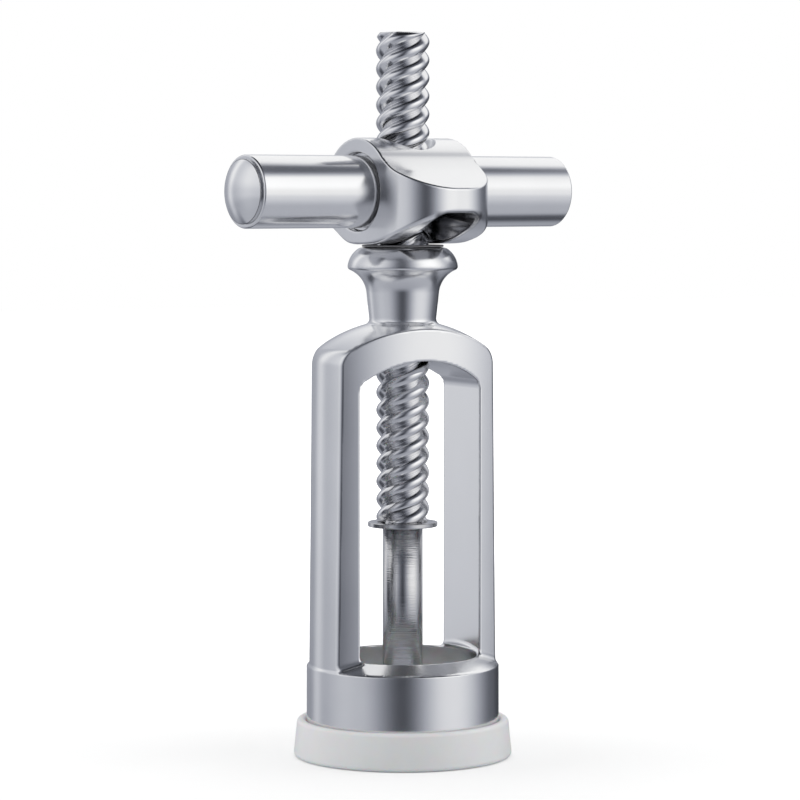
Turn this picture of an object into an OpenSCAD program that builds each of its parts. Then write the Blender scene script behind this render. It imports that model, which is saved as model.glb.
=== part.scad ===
// Self-pulling corkscrew: a bottle-shaped frame, a coarse screw spindle and a T-handle that is its nut.
// The origin is the middle of the base, +Z runs up the spindle, and the frame is open towards -Y and +Y.

/* [Seat collar] */
// Wall of the collar's rim round the frame's ring
collar_rim_t = 2.4; // [1.6:0.1:4]
// How much wider the collar is at its foot than at its rim
collar_flare = 1; // [0:0.1:3]
// Height of the step that the frame's ring stands on
collar_floor = 7.9; // [5:0.1:10]
// How far the rim stands up round the frame's ring
collar_rim = 1.8; // [1.3:0.1:3]
// Height of the sleeve that centres the collar inside the ring
collar_sleeve = 9; // [4:0.5:12]
// Radius of the socket for the neck of a bottle
bottle_bore_r = 15.3; // [14.5:0.1:16.5]

/* [Frame] */
// Radius of the base ring
ring_r = 24.8; // [23:0.1:27]
// Height of the base ring, from its foot to the outer edge of the ledge
ring_h = 15.9; // [14:0.1:22]
// Radius of the bore of the base ring
ring_bore_r = 19; // [18:0.1:20.5]
// Rounding of the ring's outer edges
ring_round = 0.6; // [0.3:0.05:0.65]
// How far the ledge rises from its outer edge to the bore
ledge_rise = 2.4; // [1:0.1:3]
// Step from the base ring in to the body
body_step = 0.7; // [0.65:0.05:1.4]
// How much the body narrows from the ledge up to the shoulder
body_taper = 0.9; // [0.2:0.1:1.6]
// Height of the body, from the ledge to the corner of the shoulder
body_h = 79.5; // [70:0.1:90]
// Radius of the domed shoulder
shoulder_dome_r = 32.7; // [30:0.1:40]
// Rounding of the shoulder's corner
shoulder_round = 3.2; // [1:0.1:4]
// Distance between the two bowed faces at their middle
frame_depth = 24.7; // [22:0.1:27]
// Radius of the two bowed faces
face_r = 63; // [45:1:120]
// Width of the window between the two pillars
window_w = 34.6; // [32:0.1:36]
// Thickness of the crown between the window's arch and the shoulder
crown_t = 10.4; // [8:0.1:14]
// Radius of the window's arch
arch_r = 28.6; // [24:0.1:40]
// Radius of the neck where it leaves the shoulder
neck_foot_r = 8.5; // [8:0.1:9]
// Lean of the neck's straight side
neck_rake = 6; // [0:0.5:9]
// Height of the neck's straight side, below the flare
neck_straight = 7.9; // [5:0.1:9]
// Length of the neck, from the shoulder to the middle of the lip
neck_h = 13.9; // [12:0.1:18]
// Largest radius of the lip
lip_r = 14.2; // [13.4:0.1:15.4]
// Radius of the lip's rounded upper side
lip_round = 6.3; // [5.6:0.1:7]
// Radius of the flat on top of the lip
lip_flat_r = 10.8; // [10.6:0.1:11.4]
// Rounding where the neck meets the shoulder
neck_fillet = 1.2; // [0.6:0.1:1.8]

/* [Spindle] */
// Crest radius of the screw thread
thread_crest_r = 6.85; // [6.4:0.05:7.2]
// Root radius of the screw thread
thread_root_r = 5.35; // [5.2:0.05:5.8]
// Axial travel of one full turn
thread_lead = 13.8; // [10:0.1:18]
// Number of thread starts
thread_starts = 3; // [2:1:4]
// Length of the thread
thread_len = 125.5; // [115:0.1:135]
// Radius of the plain shank below the thread
shank_r = 5.15; // [4.6:0.05:5.2]
// Length of the plain shank
shank_len = 40; // [34:0.1:44]
// Outer radius of the stop washer
stop_washer_r = 9; // [8:0.1:10]
// Thickness of the stop washer
stop_washer_t = 1.2; // [0.8:0.1:2]

/* [Worm] */
// Radius of the worm's wire
worm_wire_r = 1.35; // [1:0.05:1.5]
// Radius of the helix at the middle of the wire
worm_helix_r = 3.1; // [2.6:0.05:3.4]
// Pitch of the helix
worm_pitch = 8.4; // [7:0.1:10]
// Length of the worm below the shank
worm_len = 19.4; // [16:0.1:20]
// Depth of the worm's stem inside the shank
worm_stem = 8; // [5:0.5:14]
// Height of the worm's tip above the ground at rest
worm_tip_z = 1.2; // [0.4:0.1:3]

/* [Hub] */
// Radius of the barrel along the handle
hub_barrel_r = 13.7; // [13:0.1:14.5]
// Reach of the hub to the front and back
hub_reach = 25.2; // [24:0.1:26]
// Length of the hub along the handle
hub_len = 29.4; // [28:0.1:34]
// Rounding of the hub's upright corners
hub_corner_r = 13.2; // [10:0.1:13.8]
// Height of the ridge of the two roof faces above the handle's middle line
hub_ridge = 12.6; // [11:0.1:13]
// Slope of the two roof faces
hub_roof_slope = 25; // [20:1:30]
// Depth at which the face under the back would meet the middle
hub_back = 12; // [11:0.1:13]
// Slope of the face under the back
hub_back_slope = 14; // [10:1:20]
// Radius of the bowed underside
hub_belly_r = 42; // [36:1:60]
// Width of the flat on the underside that bears on the washer
hub_pad_w = 8; // [4:0.5:10]
// Width of the channel across the underside
hub_channel_w = 14.8; // [14.4:0.1:18]
// Height of the channel across the underside
hub_channel_h = 8.2; // [6:0.1:9]
// Rounding of the channel's upper corners
hub_channel_round = 4; // [2:0.1:6]
// Depth of the sockets for the grips
socket_depth = 2; // [1:0.1:3]
// Thickness of the thrust washer on the lip
thrust_washer_t = 0.5; // [0.4:0.1:1.5]
// Outer radius of the thrust washer
thrust_washer_r = 10.5; // [9.5:0.1:10.6]
// Wall of the drive nut outside its thread
nut_wall = 0.95; // [0.7:0.05:1.5]
// Length of the drive nut
nut_len = 14.6; // [12:0.1:15]
// Height of the nut's foot above the channel
nut_rise = 0.3; // [0:0.1:1]

/* [Handle] */
// Angle of the handle to the frame at rest
handle_yaw = 8.7; // [0:0.1:90]
// Radius of the grips
grip_r = 9.2; // [8.4:0.1:9.8]
// Distance from the spindle's axis to the outer end of a grip
grip_reach = 48.9; // [44:0.1:60]
// Rounding of the outer edge of a grip
grip_round = 0.5; // [0.2:0.1:1]
// How much smaller a cap's radius is than the grip's
cap_inset = 0.8; // [0.2:0.1:1.5]
// Height of the domed end caps
cap_dome_h = 2.6; // [1.5:0.1:7]
// Width of the groove between grip and cap
cap_groove_w = 0.4; // [0.2:0.1:1.2]
// Depth of the groove between grip and cap
cap_groove_d = 0.5; // [0.3:0.1:1]
// Radius of the bore in the outer end of a grip
grip_bore_r = 6; // [5:0.1:7]
// Depth of the bore in the outer end of a grip
grip_bore_depth = 16; // [12:0.5:18]
// Length of the spigot on a cap
cap_spigot_len = 9; // [5:0.5:11]
// Radius of the studs that hold the grips
stud_r = 3; // [2:0.1:3.5]
// Length of the studs
stud_len = 16; // [12:0.5:18]

/* [Fits] */
// Gap round a piece that is pressed or screwed in
press_gap = 0.05; // [0.02:0.01:0.1]
// Gap between faces that turn on each other
turn_gap = 0.1; // [0.05:0.01:0.2]
// Radial gap round the spindle in the neck and the washers
slide_gap = 0.3; // [0.2:0.05:0.4]
// Radial gap between the threads of spindle and nut
thread_gap = 0.4; // [0.35:0.05:0.5]
// Gap round a grip in the mouth of its socket
socket_gap = 0.8; // [0.3:0.1:1]

/* [Hidden] */
$fn = 96;
small_fn = 48;
large_fn = 192;
overcut = 1;

// Radii of the collar and the body, from the frame's ring
collar_top_r = ring_r + turn_gap + collar_rim_t;
collar_foot_r = collar_top_r + collar_flare;
body_foot_r = ring_r - body_step;
body_top_r = body_foot_r - body_taper;

// Heights of the frame, from the collar's foot up
ledge_z = collar_floor + ring_h;
ledge_top_z = ledge_z + ledge_rise;
shoulder_z = ledge_z + body_h;
dome_z = shoulder_z - sqrt(pow(shoulder_dome_r, 2) - pow(body_top_r, 2));
window_top_z = dome_z + shoulder_dome_r - crown_t;
window_h = window_top_z - ledge_z;
neck_foot_z = dome_height(neck_foot_r);
lip_z = neck_foot_z + neck_h;
lip_centre_r = lip_r - lip_round;
lip_top_z = lip_z + sqrt(pow(lip_round, 2) - pow(lip_flat_r - lip_centre_r, 2));

// Hollow flare that leaves the neck's side smoothly and ends at the lip's edge
lip_edge_rise = 0.6;
flare_z = neck_foot_z + neck_straight;
neck_top_r = neck_foot_r + neck_straight * tan(neck_rake);
flare_out = lip_r - neck_top_r;
flare_up = lip_z + lip_edge_rise - flare_z;
flare_lean = flare_out * cos(neck_rake) - flare_up * sin(neck_rake);
flare_r = (pow(flare_out, 2) + pow(flare_up, 2)) / (2 * flare_lean);
flare_centre = [neck_top_r + flare_r * cos(neck_rake), flare_z - flare_r * sin(neck_rake)];

// Middle of the rounding between the body and the domed shoulder
corner_r = body_top_r - shoulder_round;
corner_z = dome_z + sqrt(pow(shoulder_dome_r - shoulder_round, 2) - pow(corner_r, 2));

// Heights of the handle, stacked on the lip
thrust_washer_z = lip_top_z + turn_gap;
hub_foot_z = thrust_washer_z + thrust_washer_t + turn_gap;
hub_pad_rise = hub_belly_r - sqrt(pow(hub_belly_r, 2) - pow(hub_pad_w / 2, 2));
hub_drop = hub_barrel_r - hub_pad_rise;
handle_z = hub_foot_z + hub_drop;
nut_r = thread_crest_r + thread_gap + nut_wall;
nut_foot = hub_channel_h + nut_rise;
nut_foot_z = hub_foot_z + nut_foot;

// Heights of the spindle, from the worm's tip up
shank_foot_z = worm_tip_z + worm_len;
thread_foot_z = shank_foot_z + shank_len;

// Facets of the screw thread: points round each start, and slices along one turn
thread_points = 8;
thread_slices = 16;

// Facets of the worm: points round the wire, and rings along one turn
worm_sides = 8;
worm_rings = 14;
// Half of the stretch that gives the direction of the wire
worm_probe = 0.05;
// Thickness left at the worm's tip, as a share of the wire
worm_tip_share = 0.08;

// Height of the domed shoulder at a distance r from the axis
function dome_height(r) = dome_z + sqrt(pow(shoulder_dome_r, 2) - pow(r, 2));

// Half of the frame's outline, from the axis outwards
module bell_profile() {
    round_r = ring_r - ring_round;
    translate([0, collar_floor]) square([round_r, ring_h]);
    translate([0, collar_floor + ring_round]) square([ring_r, ring_h - 2 * ring_round]);
    for (z = [collar_floor + ring_round, ledge_z - ring_round])
        translate([round_r, z]) circle(ring_round, $fn = small_fn);
    polygon([
        [0, collar_floor + ring_round], [body_foot_r, collar_floor + ring_round],
        [body_foot_r, ledge_z], [body_top_r, corner_z],
        [corner_r, corner_z], [0, dome_z]
    ]);
    translate([corner_r, corner_z]) circle(shoulder_round);
    intersection() {
        translate([0, dome_z]) circle(shoulder_dome_r);
        polygon([
            [0, dome_z], [2 * corner_r, 2 * corner_z - dome_z],
            [corner_r, 2 * corner_z], [0, 2 * corner_z]
        ]);
    }
    neck_profile();
}

// Half of the neck and lip
module neck_profile() {
    fillet_r = neck_foot_r + neck_fillet;
    polygon([
        [0, dome_z], [neck_foot_r, dome_z], [neck_foot_r, neck_foot_z],
        [neck_top_r, flare_z], [0, flare_z]
    ]);
    difference() {
        translate([0, neck_foot_z - neck_fillet]) square([fillet_r, 2 * neck_fillet]);
        translate([fillet_r, dome_height(fillet_r) + neck_fillet]) circle(neck_fillet);
        translate([neck_foot_r, dome_height(fillet_r) + neck_fillet]) square(2 * neck_fillet);
    }
    difference() {
        union() {
            translate([0, flare_z]) square([lip_r, lip_z - flare_z]);
            translate([0, lip_z]) square([lip_centre_r, lip_top_z - lip_z]);
            intersection() {
                translate([lip_centre_r, lip_z]) circle(lip_round);
                translate([0, flare_z]) square([lip_r, lip_top_z - flare_z]);
            }
        }
        translate(flare_centre) circle(flare_r);
    }
}

// Everything above the sloping ledge of the base ring
module above_ledge() {
    clear_r = ring_r + overcut;
    rotate_extrude() polygon([
        [0, ledge_top_z], [ring_bore_r, ledge_top_z], [body_foot_r, ledge_z],
        [clear_r, ledge_z + overcut], [clear_r, lip_top_z], [0, lip_top_z]
    ]);
}

// One side cut away to leave a bowed face towards +Y
module face_cut() {
    clear_r = ring_r + overcut;
    cut_h = dome_height(frame_depth / 2) + overcut - ledge_z;
    translate([0, 0, ledge_z]) linear_extrude(cut_h) difference() {
        translate([-clear_r, 0]) square([2 * clear_r, clear_r]);
        translate([0, frame_depth / 2 - face_r]) circle(face_r, $fn = 2 * large_fn);
    }
}

// The arched window, right through from front to back
module window_cut() {
    rotate([90, 0, 0]) linear_extrude(2 * ring_r, center = true) intersection() {
        translate([-window_w / 2, ledge_z]) square([window_w, window_h]);
        translate([0, window_top_z - arch_r]) circle(arch_r);
    }
    rotate([90, 0, 0]) linear_extrude(2 * ring_r, center = true)
        translate([-window_w / 2, ledge_z]) square([window_w, window_h - arch_r]);
}

module frame() {
    color("silver") difference() {
        rotate_extrude() bell_profile();
        intersection() {
            union() {
                face_cut();
                mirror([0, 1, 0]) face_cut();
                window_cut();
            }
            above_ledge();
        }
        translate([0, 0, collar_floor - overcut])
            cylinder(r = ring_bore_r, h = overcut + ring_h + ledge_rise + turn_gap);
        translate([0, 0, window_top_z - overcut])
            cylinder(r = thread_crest_r + slide_gap, h = lip_top_z - window_top_z + 2 * overcut);
    }
}

// Frosted plastic ring that stands on the bottle and centres its neck
module base_collar() {
    rim_in = ring_r + turn_gap;
    rim_top = collar_floor + collar_rim;
    rim_round = (collar_top_r - rim_in) / 2;
    sleeve_r = ring_bore_r - turn_gap;
    sleeve_top = collar_floor + collar_sleeve;
    foot_round = 1;
    lead_in = 1.5;
    color("whitesmoke", 0.8) rotate_extrude() {
        polygon([
            [bottle_bore_r + lead_in, 0], [collar_foot_r - foot_round, 0], [collar_foot_r, foot_round],
            [collar_top_r, rim_top - rim_round], [rim_in, rim_top - rim_round], [rim_in, collar_floor],
            [sleeve_r, collar_floor], [sleeve_r, sleeve_top],
            [bottle_bore_r, sleeve_top], [bottle_bore_r, lead_in]
        ]);
        translate([collar_foot_r - foot_round, foot_round]) circle(foot_round);
        translate([rim_in + rim_round, rim_top - rim_round]) circle(rim_round);
    }
}

// Flat ring between the lip and the hub
module thrust_washer() {
    color("dimgray") translate([0, 0, thrust_washer_z]) difference() {
        cylinder(r = thrust_washer_r, h = thrust_washer_t);
        translate([0, 0, -overcut])
            cylinder(r = thread_crest_r + slide_gap, h = thrust_washer_t + 2 * overcut);
    }
}

// Section of the screw thread, with a rounded lobe for each start
module thread_section(grow) {
    count = thread_starts * thread_points;
    depth = thread_crest_r - thread_root_r;
    polygon([
        for (i = [0 : count - 1])
            let (a = 360 * i / count, r = thread_root_r + depth * (1 + cos(thread_starts * a)) / 2 + grow)
            [r * cos(a), r * sin(a)]
    ]);
}

// A stretch of right-hand thread that lies in step with the spindle's
module thread_stretch(foot, length, grow) {
    translate([0, 0, foot])
        rotate([0, 0, 360 * (foot - thread_foot_z) / thread_lead])
        linear_extrude(
            length, twist = -360 * length / thread_lead,
            slices = ceil(thread_slices * length / thread_lead), $fn = thread_starts * thread_points
        ) thread_section(grow);
}

// Screw spindle with its plain shank, drilled for the worm
module spindle() {
    color("gainsboro") difference() {
        union() {
            thread_stretch(thread_foot_z, thread_len, 0);
            translate([0, 0, shank_foot_z]) cylinder(r = shank_r, h = shank_len + overcut);
        }
        translate([0, 0, shank_foot_z - overcut])
            cylinder(r = worm_wire_r + press_gap, h = worm_stem + press_gap + overcut, $fn = small_fn);
    }
}

// Washer under the thread that stops the spindle below the frame's crown
module stop_washer() {
    color("gainsboro") translate([0, 0, thread_foot_z - stop_washer_t]) difference() {
        cylinder(r = stop_washer_r, h = stop_washer_t);
        translate([0, 0, -overcut]) cylinder(r = shank_r + press_gap, h = stop_washer_t + 2 * overcut);
    }
}

// Middle of the worm's wire at a depth below the shank
function worm_point(depth) =
    let (
        spread = min(1, max(0, depth) / (worm_pitch / 2)),
        r = worm_helix_r * spread * spread * (3 - 2 * spread),
        a = -360 * depth / worm_pitch
    )
    [r * cos(a), r * sin(a), shank_foot_z - depth];

// Radius of the worm's wire at a depth, drawn down to a point
function worm_radius(depth) =
    let (taper = min(1, (worm_len - depth) / (worm_pitch / 2)))
    worm_wire_r * max(worm_tip_share, sqrt(max(0, taper)));

// Ring of points round the wire, square to its run
function worm_ring(depth) =
    let (
        run = worm_point(depth + worm_probe) - worm_point(depth - worm_probe),
        along = run / norm(run),
        side = cross(along, [0, 1, 0]),
        u = side / norm(side),
        v = cross(along, u)
    )
    [
        for (k = [0 : worm_sides - 1])
            let (a = 360 * k / worm_sides)
            worm_point(depth) + worm_radius(depth) * (cos(a) * u + sin(a) * v)
    ];

// Helical worm with a straight stem pressed into the shank
module worm() {
    sides = worm_sides;
    rings = ceil(worm_rings * worm_len / worm_pitch);
    depths = concat([-worm_stem, -worm_stem / 2], [for (i = [0 : rings]) i * worm_len / rings]);
    last = len(depths) - 1;
    points = [for (d = depths) each worm_ring(d)];
    walls = [
        for (i = [0 : last - 1], k = [0 : sides - 1])
            let (a = i * sides + k, b = i * sides + (k + 1) % sides)
            each [[a, a + sides, b], [b, a + sides, b + sides]]
    ];
    ends = [[for (k = [0 : sides - 1]) k], [for (k = [sides - 1 : -1 : 0]) last * sides + k]];
    color("gainsboro") polyhedron(points, concat(walls, ends));
}

// Places a piece of the handle at its height and angle
module at_handle() {
    translate([0, 0, handle_z]) rotate([0, 0, handle_yaw]) children();
}

// Turns a piece that was drawn along +X to the left end of the handle
module at_left() {
    rotate([0, 0, 180]) children();
}

// Section of the hub across the handle: a barrel with a roof, a face under the back and a hood at the front
module hub_section() {
    reach = hub_reach + overcut;
    eave = hub_ridge - reach * tan(hub_roof_slope);
    back = -hub_back + reach * tan(hub_back_slope);
    intersection() {
        union() {
            circle(hub_barrel_r);
            polygon([
                [-reach, -hub_barrel_r], [0, -hub_barrel_r], [0, -hub_back], [reach, back],
                [reach, eave], [0, hub_ridge], [-reach, eave]
            ]);
        }
        translate([0, hub_belly_r - hub_barrel_r]) circle(hub_belly_r, $fn = large_fn);
        translate([-reach, -hub_drop]) square(2 * reach);
    }
}

// Plan of what is cut away at the hub's four upright corners
module hub_corners() {
    x = hub_len / 2 - hub_corner_r;
    y = hub_reach - hub_corner_r;
    for (i = [-1, 1], k = [-1, 1]) scale([i, k]) difference() {
        translate([x, y]) square(hub_corner_r + 2 * overcut);
        translate([x, y]) circle(hub_corner_r, $fn = large_fn);
    }
}

// Section of the channel under the hub, with a rounded top
module channel_section() {
    x = hub_channel_w / 2 - hub_channel_round;
    y = hub_channel_h - hub_channel_round;
    translate([-hub_channel_w / 2, -overcut]) square([hub_channel_w, y + overcut]);
    translate([-x, -overcut]) square([2 * x, hub_channel_h + overcut]);
    for (i = [-1, 1]) translate([i * x, y]) circle(hub_channel_round, $fn = small_fn);
}

// Socket for one grip, with the hole for its stud
module grip_socket() {
    rotate([0, 90, 0]) {
        translate([0, 0, hub_len / 2 - socket_depth])
            cylinder(r = grip_r + socket_gap, h = socket_depth + overcut);
        cylinder(r = stud_r + press_gap, h = hub_len / 2, $fn = small_fn);
    }
}

// Cast hub that carries the grips and holds the drive nut
module handle_hub() {
    color("silver") at_handle() difference() {
        intersection() {
            rotate([90, 0, 90]) linear_extrude(hub_len, center = true) hub_section();
            cube([2 * hub_len, 2 * hub_reach, 4 * hub_barrel_r], center = true);
        }
        linear_extrude(4 * hub_barrel_r, center = true) hub_corners();
        translate([0, 0, nut_foot - hub_drop]) cylinder(r = nut_r + press_gap, h = 2 * hub_barrel_r);
        translate([0, 0, -2 * hub_barrel_r]) cylinder(r = thread_crest_r + slide_gap, h = 2 * hub_barrel_r);
        translate([0, 0, -hub_drop]) rotate([90, 0, 0])
            linear_extrude(2 * (hub_reach + overcut), center = true) channel_section();
        grip_socket();
        at_left() grip_socket();
    }
}

// Nut with the inner thread that lifts the spindle
module drive_nut() {
    mouth = 0.8;
    color("darkgray") difference() {
        translate([0, 0, nut_foot_z]) cylinder(r = nut_r, h = nut_len);
        thread_stretch(nut_foot_z - overcut, nut_len + 2 * overcut, thread_gap);
        translate([0, 0, nut_foot_z + nut_len - mouth])
            cylinder(r1 = thread_root_r + thread_gap, r2 = nut_r - mouth / 2, h = mouth + press_gap);
    }
}

// One grip, drawn along +X
module grip() {
    foot = hub_len / 2 - socket_depth + press_gap;
    color("silver") at_handle() rotate([0, 90, 0]) difference() {
        rotate_extrude() {
            translate([0, foot]) square([grip_r, grip_reach - grip_round - foot]);
            translate([0, foot]) square([grip_r - grip_round, grip_reach - foot]);
            translate([grip_r - grip_round, grip_reach - grip_round]) circle(grip_round, $fn = small_fn);
        }
        translate([0, 0, grip_reach - grip_bore_depth])
            cylinder(r = grip_bore_r, h = grip_bore_depth + overcut);
        translate([0, 0, foot - overcut])
            cylinder(r = stud_r + press_gap, h = stud_len + overcut, $fn = small_fn);
    }
}

// One end cap with its groove, dome and spigot, drawn along +X
module end_cap() {
    cap_r = grip_r - cap_inset;
    dome_foot = grip_reach + cap_groove_w;
    dome_r = (pow(cap_r, 2) + pow(cap_dome_h, 2)) / (2 * cap_dome_h);
    color("silver") at_handle() rotate([0, 90, 0]) rotate_extrude() {
        translate([0, grip_reach]) square([cap_r - cap_groove_d, cap_groove_w]);
        intersection() {
            translate([0, dome_foot + cap_dome_h - dome_r]) circle(dome_r, $fn = large_fn);
            translate([0, dome_foot]) square([cap_r, cap_dome_h]);
        }
        translate([0, grip_reach - cap_spigot_len]) square([grip_bore_r - press_gap, cap_spigot_len]);
    }
}

// One stud that joins grip and hub, drawn along +X
module stud() {
    foot = nut_r + turn_gap;
    color("gray") at_handle() rotate([0, 90, 0]) translate([0, 0, foot])
        cylinder(r = stud_r, h = stud_len, $fn = small_fn);
}

frame();
base_collar();
thrust_washer();
spindle();
stop_washer();
worm();
handle_hub();
drive_nut();
at_left() grip();  // left_grip
grip();  // right_grip
at_left() end_cap();  // left_end_cap
end_cap();  // right_end_cap
at_left() stud();  // left_stud
stud();  // right_stud
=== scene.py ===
"""Dresses a self-pulling corkscrew: its frame, seat collar, screw spindle and T-handle, in a white studio."""

from math import asin, atan2, cos, pi, radians, sin, sqrt, tan

import bmesh
import bpy
import numpy as np
from bpy.props import FloatProperty, FloatVectorProperty, IntProperty, PointerProperty
from mathutils import Matrix, Vector


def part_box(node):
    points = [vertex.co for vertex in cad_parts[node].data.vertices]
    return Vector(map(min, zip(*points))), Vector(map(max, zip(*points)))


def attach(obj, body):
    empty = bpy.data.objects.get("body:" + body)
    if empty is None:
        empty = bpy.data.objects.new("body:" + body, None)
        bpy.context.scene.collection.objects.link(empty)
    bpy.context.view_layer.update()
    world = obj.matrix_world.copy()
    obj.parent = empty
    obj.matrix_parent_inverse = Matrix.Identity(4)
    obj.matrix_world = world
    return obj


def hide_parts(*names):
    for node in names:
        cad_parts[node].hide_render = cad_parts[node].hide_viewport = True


bl_info = {
    "name": "T-Handle Corkscrew",
    "version": (1, 0, 0),
    "blender": (4, 5, 0),
    "location": "View3D > Sidebar > Corkscrew",
    "description": "Dresses the corkscrew's frame, spindle and handle, and sets up a studio round them",
    "category": "Object",
}

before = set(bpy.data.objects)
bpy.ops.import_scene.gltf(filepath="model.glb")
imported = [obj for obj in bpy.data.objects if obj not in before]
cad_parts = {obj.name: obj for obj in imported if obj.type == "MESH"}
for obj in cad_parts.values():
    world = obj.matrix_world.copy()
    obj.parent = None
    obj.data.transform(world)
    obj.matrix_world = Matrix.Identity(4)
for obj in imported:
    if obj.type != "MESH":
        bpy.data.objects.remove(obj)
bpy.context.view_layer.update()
MM = 0.001
PRESS_GAP = 0.05 * MM
JOIN_GAP = 0.001 * MM
ARC_STEP = radians(9)
SEGMENTS = 160


def number(name, description, value, **traits):
    """A number that can be set."""
    return FloatProperty(name=name, description=description, default=value, **traits)


def size(name, description, mm):
    """A length, written in millimetres."""
    return number(name, description, mm * MM, min=0, unit="LENGTH", precision=5)


def share(name, description, value):
    """A share of one."""
    return number(name, description, value, min=0, max=1, subtype="FACTOR")


def angle(name, description, degrees):
    """An angle, written in degrees."""
    return number(name, description, radians(degrees), subtype="ANGLE")


def power(name, description, watts):
    """A lamp's power."""
    return number(name, description, watts, min=0, unit="POWER")


def colour(name, description, rgb):
    """A linear colour."""
    return FloatVectorProperty(name=name, description=description, default=rgb, min=0, max=1, subtype="COLOR")


class FrameSizes(bpy.types.PropertyGroup):
    """The cast frame."""
    voxel: size("Mesh size", "Size of the casting's faces", 0.49)
    edge: size("Edge rounding", "Rounding of the casting's outer edges", 0.5)
    corner: size("Corner fillet", "Fillet where the pillars meet the ledge", 1.6)
    ledge: size("Ledge height", "Height of the outer edge of the ledge", 23.8)
    ledge_rise: size("Ledge rise", "Rise of the ledge towards the bore", 2.4)
    bore: size("Ring bore", "Radius of the bore in the base ring", 19.0)
    body_foot: size("Body foot", "Radius of the body at the ledge", 24.45)
    body_top: size("Body top", "Radius of the body at the shoulder", 23.55)
    shoulder: size("Shoulder height", "Height of the shoulder's corner", 104.1)
    shoulder_round: size("Shoulder rounding", "Rounding of the shoulder's corner", 2.0)
    dome: size("Shoulder dome", "Radius of the domed shoulder", 36)
    depth: size("Depth", "Distance between the bowed faces in the middle", 24.7)
    face: size("Face", "Radius of the two bowed faces", 63)
    window: size("Window width", "Width between the two pillars", 34.6)
    crown: size("Crown", "Thickness of the crown above the window", 10.4)
    arch: size("Arch", "Radius of the window's arch", 28.6)
    arch_corner: size("Arch corner", "Rounding where the arch meets the pillars", 1.4)
    neck_foot: size("Neck foot", "Radius of the neck at the shoulder", 8.5)
    neck_rake: angle("Neck rake", "Lean of the neck's straight side", 6)
    neck_straight: size("Neck side", "Height of the neck's straight side", 7.9)
    neck_height: size("Neck height", "Height of the neck from shoulder to lip", 13.9)
    neck_fillet: size("Neck fillet", "Fillet where the neck meets the shoulder", 1.2)
    lip: size("Lip", "Largest radius of the lip", 14.2)
    lip_round: size("Lip rounding", "Radius of the lip's upper side", 6.3)
    lip_edge: size("Lip edge", "Rounding of the lip's outer edge", 0.6)


class SpindleSizes(bpy.types.PropertyGroup):
    """The screw spindle, its washer and the worm."""
    crest: size("Crest", "Crest radius of the thread", 6.85)
    root: size("Root", "Root radius of the thread", 5.35)
    lead: size("Lead", "Travel of one full turn", 13.8)
    thread: size("Thread length", "Length of the thread", 125.5)
    shank: size("Shank", "Radius of the plain shank", 5.15)
    chamfer: size("Chamfer", "Chamfer at the top of the spindle", 1.0)
    starts: IntProperty(name="Starts", description="Number of thread starts", default=3, min=1)
    wire: size("Wire", "Radius of the worm's wire", 1.35)
    helix: size("Helix", "Radius of the worm's helix", 3.1)
    pitch: size("Pitch", "Pitch of the worm's helix", 8.4)
    worm: size("Worm", "Length of the worm below the shank", 19.4)
    stem: size("Stem", "Depth of the worm's stem inside the shank", 8.0)


class HandleSizes(bpy.types.PropertyGroup):
    """The hub, the grips and their end caps."""
    voxel: size("Mesh size", "Size of the hub's faces", 0.35)
    yaw: angle("Yaw", "Turn of the handle at rest", 8.7)
    slope: angle("Roof slope", "Slope of the hub's roof", 25)
    back_slope: angle("Back slope", "Slope of the face under the hub's back", 14)
    barrel: size("Barrel", "Radius of the hub's barrel", 13.7)
    reach: size("Reach", "Reach of the hub to the front and back", 25.2)
    ridge: size("Ridge", "Height at which the two roof faces would meet", 12.6)
    back: size("Back", "Depth at which the face under the back would meet the middle", 12.0)
    flank: angle("Flank", "Slope of the barrel's sides above the roof", 45)
    blend: size("Blend", "Fillet between the barrel and the sloping faces", 1.2)
    length: size("Hub length", "Length of the hub along the handle", 29.4)
    belly: size("Belly", "Radius of the hub's bowed underside", 42.0)
    channel: size("Channel width", "Width of the channel under the hub", 14.8)
    channel_height: size("Channel height", "Height of the channel under the hub", 8.2)
    channel_round: size("Channel rounding", "Rounding of the channel's upper corners", 4.0)
    nut: size("Nut", "Radius of the hole for the drive nut", 8.25)
    nut_foot: size("Nut foot", "Height of the nut above the hub's underside", 8.5)
    through: size("Through hole", "Radius of the hole below the nut", 7.15)
    socket: size("Socket", "Radius of the mouth round a grip", 10.0)
    socket_depth: size("Socket depth", "Depth of the mouth round a grip", 2.0)
    stud: size("Stud hole", "Radius of the hole for a stud", 3.05)
    crease: size("Crease", "Rounding of the roof's edge", 0.5)
    cheek: size("Cheek", "Rounding of the hub's upright corners", 13.2)
    keel: size("Keel", "Rounding of the hub's lower edges", 0.9)
    rim: size("Rim", "Rounding of the channel's rim", 0.7)
    cap_inset: size("Cap inset", "How much smaller a cap's radius is than the grip's", 0.8)
    groove: size("Groove", "Depth of the groove between grip and cap", 0.5)
    groove_width: size("Groove width", "Width of the groove between grip and cap", 0.4)
    cap: size("Cap", "Height of the domed end caps", 2.6)
    softness: size("Edge rounding", "Rounding of the ends of a grip", 0.5)


class CollarSizes(bpy.types.PropertyGroup):
    """The frosted seat collar and the thrust washer."""
    floor: size("Floor", "Height of the step under the frame's ring", 7.9)
    rim: size("Rim", "Inner radius of the rim round the frame's ring", 24.9)
    top: size("Top", "Outer radius of the rim", 27.3)
    sleeve: size("Sleeve", "Outer radius of the sleeve", 18.9)
    bore: size("Bore", "Radius of the bottle's socket", 15.3)
    rim_rise: size("Rim height", "How far the rim stands up round the ring", 1.8)
    lead_in: size("Lead-in", "Chamfer at the mouth of the bottle's socket", 1.5)
    soft: size("Softness", "Rounding of the collar's edges", 1.1)
    fine: size("Fine rounding", "Rounding of the inner edges and the stop washer", 0.25)
    thin: size("Thin rounding", "Rounding of the thrust washer's edges", 0.2)


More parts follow.
